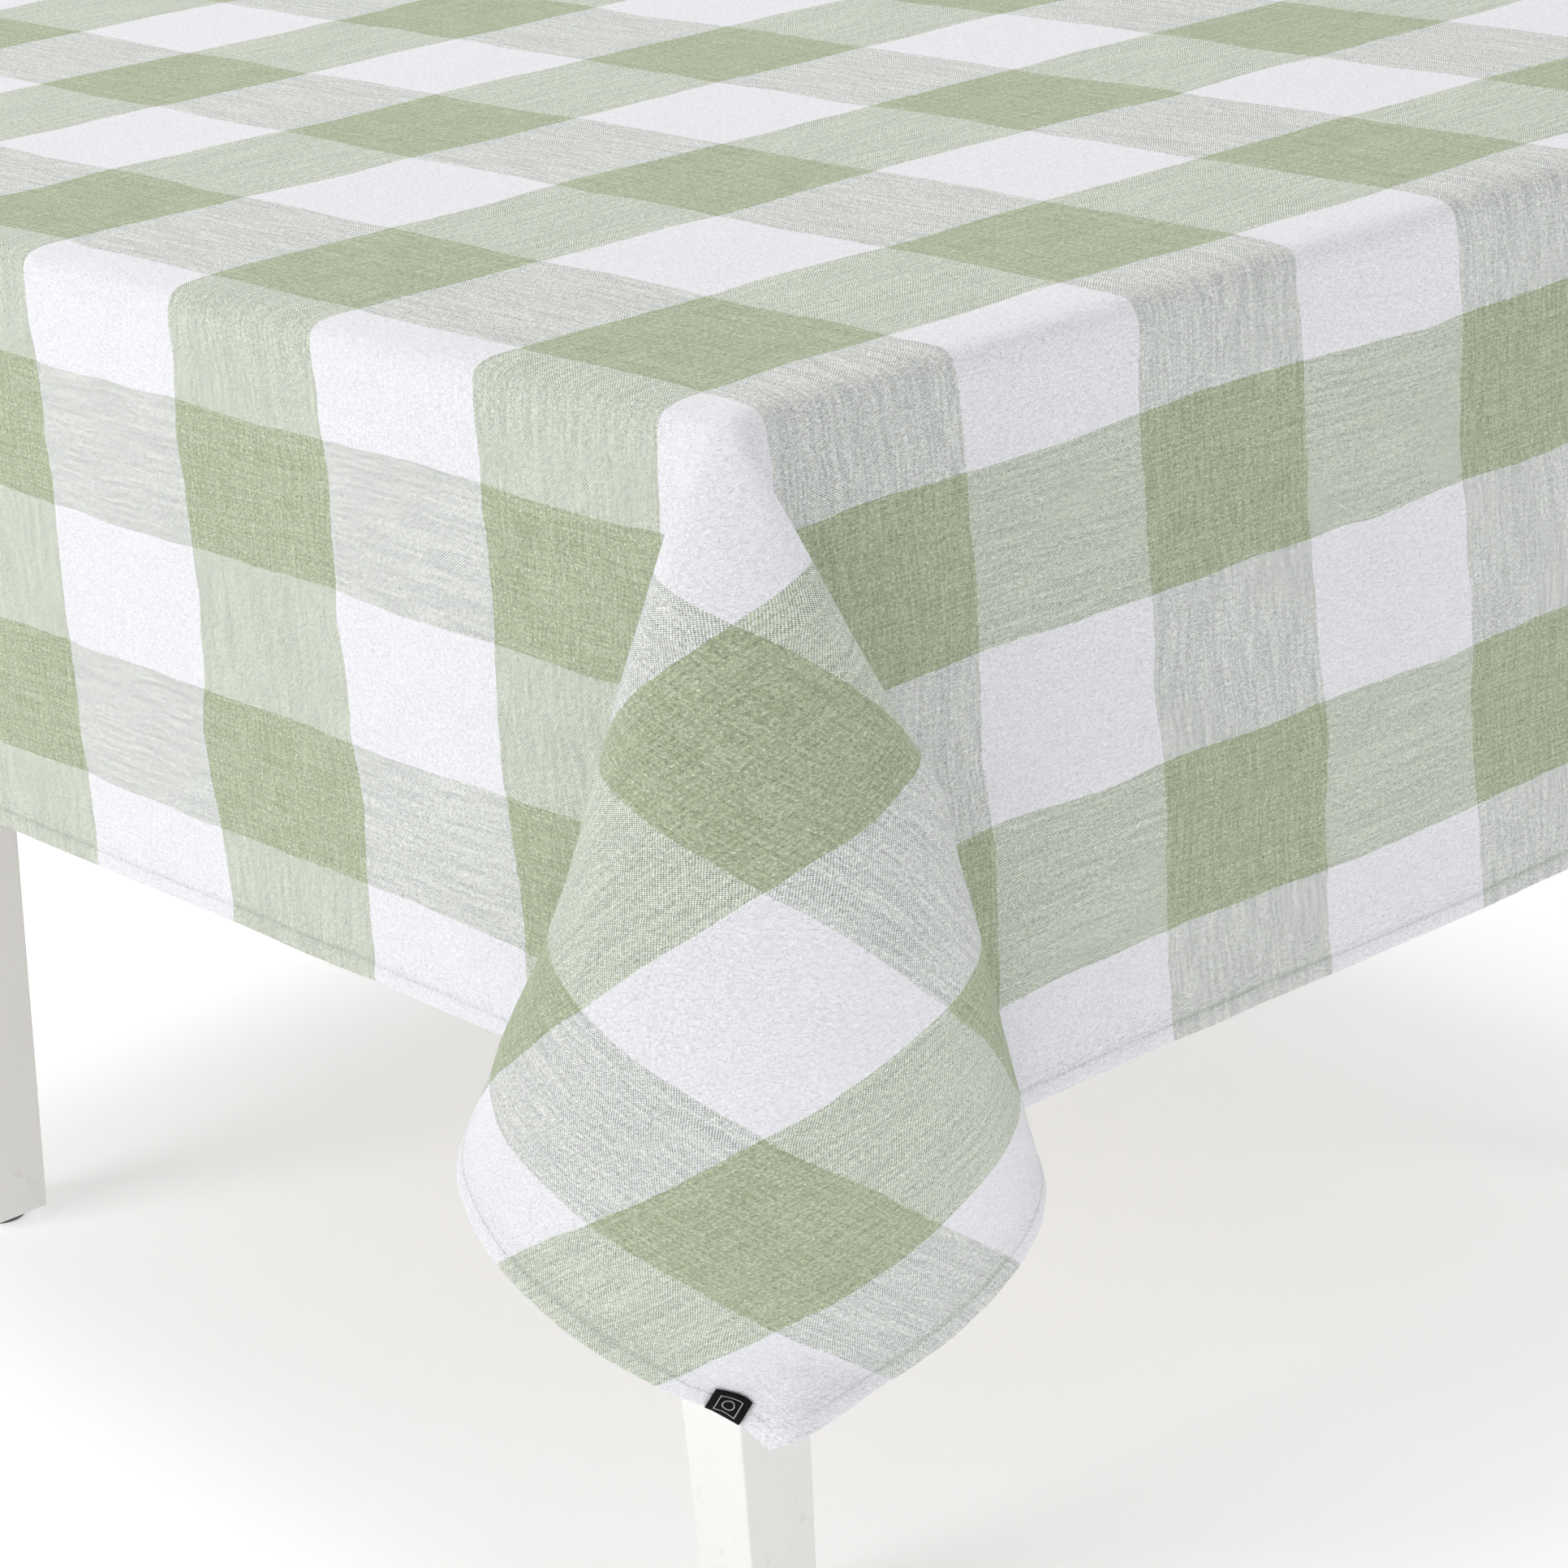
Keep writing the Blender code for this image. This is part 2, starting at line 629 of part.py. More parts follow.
def make_cloth(parent):
    """The cloth's flat top, its four drops and its four corner folds."""
    cloth = finish_material("checked cotton", CLOTH)
    edge_x = cloth_edge(TOP_WIDTH / 2)
    edge_y = cloth_edge(TOP_LENGTH / 2)
    low_z = TABLE_HEIGHT + CLEARANCE
    top = box_mesh((-edge_x, -edge_y, low_z), (edge_x, edge_y, CLOTH_TOP_Z))
    add_object("cloth_top", top, cloth, parent)
    drop_top = low_z - CLEARANCE
    end_x = edge_x - CLOTH_THICKNESS - CLEARANCE
    end_y = edge_y - CLOTH_THICKNESS - CLEARANCE
    for name, side in (("left", -1), ("right", 1)):
        xs = sorted((side * edge_x, side * (edge_x - CLOTH_THICKNESS)))
        low = (xs[0], -end_y, CLOTH_TOP_Z - DROP_AT_SIDES)
        add_object(f"cloth_drop_{name}", box_mesh(low, (xs[1], end_y, drop_top)), cloth, parent)
    for name, side in (("front", -1), ("back", 1)):
        ys = sorted((side * edge_y, side * (edge_y - CLOTH_THICKNESS)))
        low = (-end_x, ys[0], CLOTH_TOP_Z - DROP_AT_ENDS)
        add_object(f"cloth_drop_{name}", box_mesh(low, (end_x, ys[1], drop_top)), cloth, parent)
    for side_x in (-1, 1):
        for side_y in (-1, 1):
            make_fold(side_x, side_y, parent)


def label_frame():
    """The label's place: a point of the hem, along the hem, up the cloth, out of the cloth, and
    how far the curved cloth stands out under the label."""
    tip_reach = fold_reach(tip_angle())
    across = tip_reach * math.sin(tip_angle()) - LABEL_FROM_TIP
    down = tip_reach * math.cos(tip_angle())

    def cloth_at(a, b):
        return fold_point(math.hypot(a, b), math.atan2(b, a), -1, -1)

    step = LABEL_SIDE / 2
    foot = cloth_at(down, across)
    along = (cloth_at(down, across + step) - cloth_at(down, across - step)).normalized()
    up = cloth_at(down - LABEL_SIDE, across) - foot
    out = along.cross(up).normalized()
    if out.dot(Vector((-1, -1, 0))) < 0:
        out.negate()
    up = out.cross(along)
    if up.z < 0:
        up.negate()
    near = [
        cloth_at(down - LABEL_SIDE * i / 2, across + LABEL_SIDE * j / 2)
        for i in range(-1, 5)
        for j in range(-3, 4)
    ]
    swell = max((point - foot).dot(out) for point in near)
    return foot, along, up.normalized(), out, swell


def make_label(parent):
    """A square woven label, flat on the outside of the hem beside the tip."""
    black = finish_material("black woven label", LABEL)
    foot, along, up, out, swell = label_frame()
    half = LABEL_SIDE / 2
    patch = box_mesh((-half, 0, 0), (half, LABEL_SIDE, LABEL_THICKNESS))
    basis = Matrix((along, up, out)).transposed().to_4x4()
    base = foot + out * (swell + CLOTH_THICKNESS / 2 + CLEARANCE)
    bmesh.ops.transform(patch, matrix=Matrix.Translation(base) @ basis, verts=patch.verts)
    add_object("label", patch, black, parent)


def main():
    clear_scene()
    cloth_origin = bpy.data.objects.new("tablecloth lift", None)
    bpy.context.scene.collection.objects.link(cloth_origin)
    places = clip_places()
    make_tabletop([screw_place(face, inward) for _, face, inward in places], None)
    for side_x in (-1, 1):
        for side_y in (-1, 1):
            make_leg(side_x, side_y, None)
            make_bracket(side_x, side_y, None)
            make_bolt_and_nut(side_x, side_y, None)
            make_glide(side_x, side_y, None)
    for name, along, side in APRONS:
        make_apron(name, along, side, None)
    for name, face, inward in places:
        make_clip(name, face, inward, None)
    make_cloth(cloth_origin)
    make_label(cloth_origin)


main()
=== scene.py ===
"""A checked cotton tablecloth lying on a small oak table, with one rounded fold at each corner.

Metres, +Z up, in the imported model's frame. The cloth is a single sheet. It is laid out flat
first, where a point is (u, v), its distance from the middle along X and along Y, and then
bent over the table. Past an edge of the table it hangs, and past a corner it falls in a fold.
"""

import math

import bmesh
import bpy
import numpy as np
from mathutils import Matrix, Vector, noise
from mathutils.bvhtree import BVHTree


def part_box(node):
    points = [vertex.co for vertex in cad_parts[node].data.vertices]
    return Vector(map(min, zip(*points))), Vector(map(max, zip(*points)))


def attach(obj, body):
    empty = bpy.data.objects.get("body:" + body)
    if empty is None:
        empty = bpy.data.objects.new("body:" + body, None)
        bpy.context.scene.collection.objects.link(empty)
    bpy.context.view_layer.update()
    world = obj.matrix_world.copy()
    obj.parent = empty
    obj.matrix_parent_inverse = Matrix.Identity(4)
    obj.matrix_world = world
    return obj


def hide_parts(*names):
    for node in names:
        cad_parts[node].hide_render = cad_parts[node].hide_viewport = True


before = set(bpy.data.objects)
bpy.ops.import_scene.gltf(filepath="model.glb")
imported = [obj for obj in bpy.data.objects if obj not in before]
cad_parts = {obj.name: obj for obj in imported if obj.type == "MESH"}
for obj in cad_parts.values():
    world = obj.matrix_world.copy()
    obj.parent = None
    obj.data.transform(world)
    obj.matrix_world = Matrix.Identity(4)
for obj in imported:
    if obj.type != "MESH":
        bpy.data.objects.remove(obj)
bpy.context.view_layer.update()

# The table's top and the cloth's drops, from the frame.
EDGE_X, EDGE_Y, TOP_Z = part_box("cloth_top")[1]
DROP_AT_SIDES = TOP_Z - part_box("cloth_drop_left")[0].z
DROP_AT_ENDS = TOP_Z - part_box("cloth_drop_front")[0].z

# The cloth's pattern: nine checks across the top, the outermost a little inside its edges.
CHECKS_ACROSS = 9
STRIPE_INSET_X = 0.0279
STRIPE_INSET_Y = 0.0444
STRIPES_START_U = EDGE_X - STRIPE_INSET_X
STRIPES_START_V = EDGE_Y - STRIPE_INSET_Y
CHECK_X = 2 * STRIPES_START_U / CHECKS_ACROSS
CHECK_Y = 2 * STRIPES_START_V / CHECKS_ACROSS

# How the pattern runs down the drops: its checks are this much shorter there than on the top.
HANG_SCALE = 0.68
HALF_U = EDGE_X + DROP_AT_SIDES / HANG_SCALE
HALF_V = EDGE_Y + DROP_AT_ENDS / HANG_SCALE

# The fold at each corner: shares of the distance from the table's corner.
FOLD_HALF_WIDTH = 0.281
FOLD_DEPTH = 0.161
FOLD_SHIFT = 0.039
FOLD_LEAN = 0.318

# Where the fold's shape starts to change, and by how much, in metres.
FOLD_SHOULDER = 0.012
FOLD_SHOULDER_RISE = 0.04
FOLD_SHOULDER_FADE = 0.22
FOLD_OUT = 0.132
FOLD_OUT_RISE = 0.275
FOLD_TUCK_START = 0.151
FOLD_LEAN_START = 0.251
FOLD_GAP = 0.012
TIP_CURL = 0.100
TIP_RISE = 0.009

# How far the fold tucks under, how its lean and back differ, and the angles that its front spans.
FOLD_TUCK = 0.334
FOLD_TUCK_POWER = 1.5
FOLD_LEAN_AT_SIDE = -0.19
FOLD_BACK_WIDTH = 0.4
FOLD_BACK_PULL = 0.20
FOLD_GAP_SHARE = 0.3
FOLD_MIDDLE = math.radians(45.9)
FOLD_FRONT = math.radians(22.5)

# The tabletop under the cloth: how far in it starts, how round its edge is, the room kept to it.
TOP_INSET = 0.0019
TABLE_ROUND = 0.012
TABLE_GAP = 0.0013
TABLE_THICKNESS = 0.028

# The sheet's grid: its steps on the top, over the table's edge and down the drops.
TOP_STEP = 0.022
EDGE_STEP = 0.0042
DROP_STEP = 0.0088
EDGE_STEPS_FROM = -0.030
EDGE_STEPS_TO = 0.105
HEM_STEP = 0.004

# How softly the sheet bends over the table's edge, and how far out its corners are eased.
EDGE_SOFTNESS = 0.0065
CORNER_EASED = 0.035

# The height and the spacing of the sheet's wrinkles. Those that hang grow down the drops, until
# they are whole at this share of the sheet's half width.
WAVES = (0.0045, 0.21)
CREASES = (0.0011, 0.055)
FINE_CREASES = (0.0005, 0.024)
TOP_RIPPLES = (0.00035, 0.045)
LOOSE_BY = 0.35

# The cloth, its hem, its stitching and its label.
CLOTH_THICKNESS = 0.0008
THREAD_PITCH = 0.00085
HEM_WIDTH = 0.0146
HEM_PITCH = 0.0045
PUCKER_SPACING = 0.0085
PUCKER_HEIGHT = 0.45
PUCKER_FADE = 0.6
EDGE_RIPPLE_SPACING = 0.017
EDGE_RIPPLE = 0.035
STITCH_PITCH = 0.00374
STITCH_LENGTH = 0.0026
STITCH_SHARE = 0.8
STITCH_RADIUS = 0.00034
STITCHES_INSET = 0.97 * HEM_WIDTH
A_LITTLE_OUT = 0.001
LABEL_SIDE = 0.0180
LABEL_FROM_TIP = 0.037
LABEL_THICKNESS = 0.0007
LABEL_LIFT = 0.0013
LABEL_CELLS = 20


# The cloth's shape


def spaced(start, end, step):
    """Even steps from start up to, but not including, end."""
    return list(np.linspace(start, end, max(1, round((end - start) / step)), endpoint=False))


def grid_lines(edge, half):
    """Where the sheet's grid lines cross one axis: close together at the table's edge."""
    stitched = half - HEM_WIDTH
    outward = (
        spaced(0, edge + EDGE_STEPS_FROM, TOP_STEP)
        + spaced(edge + EDGE_STEPS_FROM, edge + EDGE_STEPS_TO, EDGE_STEP)
        + spaced(edge + EDGE_STEPS_TO, stitched - HEM_STEP, DROP_STEP)
        + [stitched - HEM_STEP, stitched, stitched + HEM_STEP, half - HEM_WIDTH / 3, half]
    )
    return np.array([-place for place in outward[:0:-1]] + outward)


LINES_U = grid_lines(EDGE_X, HALF_U)
LINES_V = grid_lines(EDGE_Y, HALF_V)


def past_edge(distance):
    """How far past an edge a point is: nothing well inside it, and eased in between."""
    return EDGE_SOFTNESS * np.logaddexp(0, distance / EDGE_SOFTNESS)


def ease(value):
    """A smooth step from 0 to 1 as value goes from 0 to 1."""
    share = np.clip(value, 0, 1)
    return share * share * (3 - 2 * share)


def fold_section(reach, angle):
    """(sideways, outward) of a corner fold's cloth, at a distance and an angle from its apex.

    The angle is 0 straight down the side drop's end and 90 degrees straight down the end
    drop's. The middle half of the cloth between them rounds the front of the fold. The rest
    runs back on both sides to the table's corner, in front of the drops.
    """
    low, high = FOLD_MIDDLE - FOLD_FRONT, FOLD_MIDDLE + FOLD_FRONT
    right_angle = math.pi / 2
    shoulder = FOLD_SHOULDER * (1 - np.exp(-reach / FOLD_SHOULDER_RISE))
    width = FOLD_HALF_WIDTH * reach + shoulder * np.exp(-reach / FOLD_SHOULDER_FADE)
    depth = FOLD_DEPTH * reach
    tuck = FOLD_TUCK * np.maximum(0, reach - FOLD_TUCK_START) ** FOLD_TUCK_POWER
    flank = FOLD_OUT * (1 - np.exp(-reach / FOLD_OUT_RISE)) - tuck - depth
    lean = FOLD_LEAN_AT_SIDE + (1 - FOLD_LEAN_AT_SIDE) * angle / right_angle
    middle = FOLD_SHIFT * reach - FOLD_LEAN * lean * np.maximum(0, reach - FOLD_LEAN_START)
    # Round the front, half a turn. Behind it, a Bezier curve to the table's corner, at 0, 0.
    swing = np.clip((angle - low) / (high - low), 0, 1) * math.pi
    share = np.maximum(1 - angle / low, (angle - high) / (right_angle - high))
    share = np.clip(share, 0, 1)
    keep = 1 - share
    near = keep**3 + 3 * keep**2 * share
    far = 3 * keep * share**2
    side = np.where(angle < FOLD_MIDDLE, -1.0, 1.0)
    back_sideways = middle * keep + side * width * (near + FOLD_BACK_WIDTH * far)
    back_outward = flank * near - FOLD_BACK_PULL * width * far
    front = share <= 0
    sideways = np.where(front, middle - width * np.cos(swing), back_sideways)
    outward = np.where(front, flank + depth * np.sin(swing), back_outward)
    gap = np.minimum(FOLD_GAP, FOLD_GAP_SHARE * np.abs(sideways)) * math.sqrt(2)
    return sideways, np.maximum(outward, gap - np.abs(sideways))


def drape(u, v):
    """Where the flat cloth's points come to lie, before the cloth is eased."""
    past_u = past_edge(np.abs(u) - EDGE_X)
    past_v = past_edge(np.abs(v) - EDGE_Y)
    reach = np.hypot(past_u, past_v)
    sideways, outward = fold_section(reach, np.arctan2(past_v, past_u))
    fall = np.sqrt(np.maximum(reach**2 - sideways**2 - outward**2, 0)) * HANG_SCALE
    x = np.abs(u) - past_u + (outward - sideways) * math.sqrt(0.5)
    y = np.abs(v) - past_v + (outward + sideways) * math.sqrt(0.5)
    return np.stack((np.sign(u) * x, np.sign(v) * y, TOP_Z - fall), axis=-1)


def eased(points, amount, rounds):
    """The grid of points, each moved part of the way to the mean of its neighbours."""
    for _ in range(rounds):
        mean = points.copy()
        mean[1:-1, 1:-1] = (
            points[:-2, 1:-1] + points[2:, 1:-1] + points[1:-1, :-2] + points[1:-1, 2:]
        ) / 4
        mean[1:-1, 0] = (points[:-2, 0] + points[2:, 0]) / 2
        mean[1:-1, -1] = (points[:-2, -1] + points[2:, -1]) / 2
        mean[0, 1:-1] = (points[0, :-2] + points[0, 2:]) / 2
        mean[-1, 1:-1] = (points[-1, :-2] + points[-1, 2:]) / 2
        points = points + amount[..., None] * (mean - points)
    return points


def clear_of_table(points):
    """The points, with any that would touch the tabletop or its rounded edge moved out of it."""
    core = np.array((EDGE_X - TOP_INSET, EDGE_Y - TOP_INSET, TOP_Z - TOP_INSET)) - TABLE_ROUND
    outside = np.maximum(np.abs(points) - core, 0)
    distance = np.linalg.norm(outside, axis=-1, keepdims=True)
    beside = (distance > TABLE_ROUND / 2) & (points[..., 2:] > TOP_Z - TABLE_THICKNESS)
    push = np.maximum(0, TABLE_ROUND + TABLE_GAP - distance) * beside
    direction = outside / np.maximum(distance, 1e-9) * np.where(points < 0, -1, 1)
    return points + direction * push


def wander(u, v, spacing, seed):
    """Soft noise from about -1 to 1 that varies over this distance of flat cloth."""
    places = zip(np.ravel(u) / spacing, np.ravel(v) / spacing)
    values = [noise.noise(Vector((a, b, seed * 3.7))) for a, b in places]
    return np.reshape(values, np.shape(u))


def normals_of(points):
    """The outward normal at each point of the grid."""
    along_u = np.gradient(points, axis=0)
    along_v = np.gradient(points, axis=1)
    normal = np.cross(along_u, along_v)
    return normal / np.maximum(np.linalg.norm(normal, axis=-1, keepdims=True), 1e-12)


def near_corner(u, v, edge_u, edge_v, width):
    """0 up to this width inside the edges, and eased to 1 where both are reached."""
    return ease((np.abs(u) - edge_u) / width + 1) * ease((np.abs(v) - edge_v) / width + 1)


def wrinkles(u, v):
    """How far each point stands out: waves and creases in the drops, faint ripples on top."""
    past_u = past_edge(np.abs(u) - EDGE_X) / HALF_U
    past_v = past_edge(np.abs(v) - EDGE_Y) / HALF_V
    loose = ease(np.maximum(past_u, past_v) / LOOSE_BY)
    heights, spacings = zip(WAVES, CREASES, FINE_CREASES, TOP_RIPPLES)
    wave, crease, fine, ripple = (
        wander(u, v, spacing, seed) for seed, spacing in enumerate(spacings, 1)
    )
    hanging = heights[0] * (1 + wave) + heights[1] * crease + heights[2] * fine
    return hanging * loose + heights[3] * (1 + ripple) * (1 - loose)


def draped_grid():
    """The whole cloth's grid of points, eased at its corners and gently wrinkled."""
    u, v = np.meshgrid(LINES_U, LINES_V, indexing="ij")
    corner = near_corner(u, v, EDGE_X, EDGE_Y, CORNER_EASED)
    points = clear_of_table(eased(drape(u, v), 0.5 * corner, 2))
    points[..., 2] += TIP_RISE * near_corner(u, v, HALF_U, HALF_V, TIP_CURL)
    return points + normals_of(points) * wrinkles(u, v)[..., None]


GRID = draped_grid()
GRID_NORMALS = normals_of(GRID)


def on_cloth(u, v, lift=0.0):
    """The point of the draped cloth at flat (u, v), raised outwards by lift. Takes arrays."""
    i = np.clip(np.searchsorted(LINES_U, u) - 1, 0, len(LINES_U) - 2)
    j = np.clip(np.searchsorted(LINES_V, v) - 1, 0, len(LINES_V) - 2)
    s = ((u - LINES_U[i]) / (LINES_U[i + 1] - LINES_U[i]))[..., None]
    t = ((v - LINES_V[j]) / (LINES_V[j + 1] - LINES_V[j]))[..., None]

    def blend(values):
        near = values[i, j] * (1 - s) + values[i + 1, j] * s
        far = values[i, j + 1] * (1 - s) + values[i + 1, j + 1] * s
        return near * (1 - t) + far * t

    return blend(GRID) + blend(GRID_NORMALS) * np.asarray(lift)[..., None]


# Pieces


def new_object(name, maker, material):
    """An object from a bmesh, which is freed."""
    mesh = bpy.data.meshes.new(name)
    maker.to_mesh(mesh)
    maker.free()
    mesh.materials.append(material)
    made = bpy.data.objects.new(name, mesh)
    bpy.context.scene.collection.objects.link(made)
    return made


def add_piece(name, maker, material):
    """A smooth piece that rides on the tablecloth's body."""
    piece = new_object(name, maker, material)
    piece.data.shade_smooth()
    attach(piece, "tablecloth")
    return piece


def thicken(piece, thickness, offset):
    """Gives an open sheet its thickness: offset -1 puts all of it under the sheet."""
    wall = piece.modifiers.new("thickness", "SOLIDIFY")
    wall.thickness = thickness
    wall.offset = offset


def bent_grid(columns, rows, place):
    """A grid bmesh with this many faces each way. place gives every vertex its column and row."""
    maker = bmesh.new()
    bmesh.ops.create_grid(maker, x_segments=columns, y_segments=rows, size=0.5)
    cells = {}
    for vert in maker.verts:
        cells[vert] = (round((vert.co.x + 0.5) * columns), round((vert.co.y + 0.5) * rows))
    for vert, (column, row) in cells.items():
        vert.co = place[column, row]
    return maker, cells


def set_uv(maker, cells, layer_name, places):
    """Gives the bmesh a UV map from the place of each vertex's column and row."""
    layer = maker.loops.layers.uv.new(layer_name)
    for face in maker.faces:
        for loop in face.loops:
            loop[layer].uv = places[cells[loop.vert]]


def flat_uv(u, v):
    """Flat places counted from the outermost stripes near the front left corner."""
    return np.stack((u + STRIPES_START_U, v + STRIPES_START_V), axis=-1)


def make_sheet(material):
    """The sheet up to just past the hem's stitching, where the hem takes over."""
    inner = slice(2, -2)
    u, v = np.meshgrid(LINES_U[inner], LINES_V[inner], indexing="ij")
    maker, cells = bent_grid(len(u) - 1, len(v[0]) - 1, GRID[inner, inner])
    set_uv(maker, cells, "flat cloth", flat_uv(u, v))
    sheet = add_piece("tablecloth", maker, material)
    thicken(sheet, CLOTH_THICKNESS, -1)
    return sheet


def round_the_cloth(inset, step):
    """Points round the flat cloth this far inside its edge, with the same count for any inset."""
    corners = np.array(((-1, -1), (1, -1), (1, 1), (-1, 1), (-1, -1)))
    half = np.array((HALF_U - inset, HALF_V - inset))
    walk = []
    for start, end in zip(corners, corners[1:]):
        length = np.abs((end - start) * (HALF_U, HALF_V)).sum()
        count = round(length / step)
        share = np.arange(count)[:, None] / count
        walk.append((start * (1 - share) + end * share) * half)
    return np.concatenate(walk + [walk[0][:1]])


def make_hem(material):
    """The edge turned over twice: a flat roll, a little puckered by its stitching."""
    # (share of the width out from the stitching, height off the cloth in cloth thicknesses)
    section = (
        (0.00, -0.5), (0.05, 0.25), (0.16, 0.62), (0.50, 0.70), (0.86, 0.60), (0.97, 0.1),
        (1.00, -0.8), (0.96, -1.8), (0.84, -2.2), (0.50, -2.3), (0.10, -2.2), (0.01, -1.4),
    )
    stitched = round_the_cloth(HEM_WIDTH, HEM_PITCH)
    edge = round_the_cloth(0.0, HEM_PITCH)
    along = len(edge) - 1
    flat = np.zeros((along + 1, len(section) + 1, 2))
    lift = np.zeros((along + 1, len(section) + 1))
    pucker = wander(stitched[:, 0], stitched[:, 1], PUCKER_SPACING, 5)
    ripple = wander(edge[:, 0], edge[:, 1], EDGE_RIPPLE_SPACING, 6)
    out = (edge - stitched) * (1 - EDGE_RIPPLE * (1 + ripple))[:, None]
    for k in range(len(section) + 1):
        share, height = section[k % len(section)]
        flat[:, k] = stitched + out * share
        puckered = height + PUCKER_HEIGHT * pucker * (1 - PUCKER_FADE * share)
        lift[:, k] = CLOTH_THICKNESS * puckered
    u, v = flat[..., 0], flat[..., 1]
    maker, cells = bent_grid(along, len(section), on_cloth(u, v, lift))
    set_uv(maker, cells, "flat cloth", flat_uv(u, v))
    bmesh.ops.remove_doubles(maker, verts=maker.verts, dist=1e-6)
    bmesh.ops.recalc_face_normals(maker, faces=maker.faces)
    return add_piece("hem", maker, material)


def make_stitching(material):
    """The row of stitches that holds the hem: one small shape, set again and again."""
    stitch = bmesh.new()
    bmesh.ops.create_uvsphere(stitch, u_segments=6, v_segments=4, radius=1.0)
    shape = np.array([vert.co for vert in stitch.verts])
    faces = [[vert.index for vert in face.verts] for face in stitch.faces]
    stitch.free()
    walk = round_the_cloth(STITCHES_INSET, STITCH_PITCH)
    sunk = np.full(len(walk), STITCH_RADIUS / 2)
    places = on_cloth(walk[:, 0], walk[:, 1], sunk)
    raised = on_cloth(walk[:, 0], walk[:, 1], sunk + A_LITTLE_OUT)
    row = bmesh.new()
    for start, end, above in zip(places, places[1:], raised):
        along = Vector(end - start)
        half_length = min(STITCH_LENGTH, along.length * STITCH_SHARE) / 2
        along.normalize()
        across = Vector(above - start).cross(along).normalized()
        out = along.cross(across)
        turn = np.array((across * STITCH_RADIUS, out * STITCH_RADIUS, along * half_length))
        verts = [row.verts.new(point) for point in shape @ turn + (start + end) / 2]
        for face in faces:
            row.faces.new([verts[index] for index in face])
    bmesh.ops.recalc_face_normals(row, faces=row.faces)
    return add_piece("hem_stitching", row, material)


def label_place(surface_tree):
    """A function from a place on the label, in metres from the middle of its foot, to a point."""
    v = np.array([-(HALF_V - LABEL_FROM_TIP)])
    u = np.array([-HALF_U])
    step = LABEL_SIDE / 2
    foot = Vector(on_cloth(u, v)[0])
    along = Vector(on_cloth(u, v + step)[0] - on_cloth(u, v - step)[0]).normalized()
    inward = Vector(on_cloth(u + step, v)[0]) - foot
    out = inward.cross(along).normalized()
    if out.dot(Vector((-1, -1, 0))) < 0:
        out.negate()
    up = out.cross(along)
    if up.dot(inward) < 0:
        up.negate()
    well_out = out * 0.02

    def place(across, rise):
        start = foot + along * across + up * rise + well_out
        hit = surface_tree.ray_cast(start, -out, 2 * well_out.length)[0]
        if hit is None:
            hit = start - well_out
        return hit + out * LABEL_LIFT

    return place


def make_label(sheet, hem, material):
    """The square woven label on the hem by the tip."""
    graph = bpy.context.evaluated_depsgraph_get()
    surface = bmesh.new()
    for piece in (sheet, hem):
        surface.from_object(piece, graph)
    place = label_place(BVHTree.FromBMesh(surface))
    surface.free()
    shares = np.arange(LABEL_CELLS + 1) / LABEL_CELLS
    places = np.array(
        [[place((i - 0.5) * LABEL_SIDE, j * LABEL_SIDE) for j in shares] for i in shares]
    )
    places = eased(places, np.full(places.shape[:2], 0.5), 4)
    maker, cells = bent_grid(LABEL_CELLS, LABEL_CELLS, places)
    set_uv(maker, cells, "label", np.stack(np.meshgrid(shares, shares, indexing="ij"), axis=-1))
    label = add_piece("woven_label", maker, material)
    thicken(label, LABEL_THICKNESS, 0)
    return label


# Finishes. A colour is linear red, green, blue and 1.

# One set of threads: its green where it is darkest, its green where it is palest, its white.
THREADS_ALONG_Y = ((0.235, 0.275, 0.175, 1), (0.56, 0.595, 0.475, 1), (0.87, 0.862, 0.895, 1))
THREADS_ALONG_X = ((0.305, 0.365, 0.195, 1), (0.50, 0.565, 0.36, 1), (0.85, 0.845, 0.872, 1))
SAGE = (0.315, 0.367, 0.225, 1)
PALE_SAGE = (0.57, 0.625, 0.455, 1)
NUB_WHITE = (0.86, 0.865, 0.85, 1)
# The hem's darker line: partly painted shade in its groove, partly the turned-under edge seen
# through the cloth.
HEM_LINE_PAINTED_SHADE_AND_EDGE = (0.34, 0.38, 0.31, 1)

# How far the threads wander from straight, and how fast their shades change across and along
# them, per metre: each thread's own shade, and the wider shade of its thick and thin lengths.
WANDER_U = 0.009
WANDER_V = 0.011
STREAKS_ACROSS, STREAKS_ALONG = 620.0, 26.0
SLUBS_ACROSS, SLUBS_ALONG = 230.0, 9.0


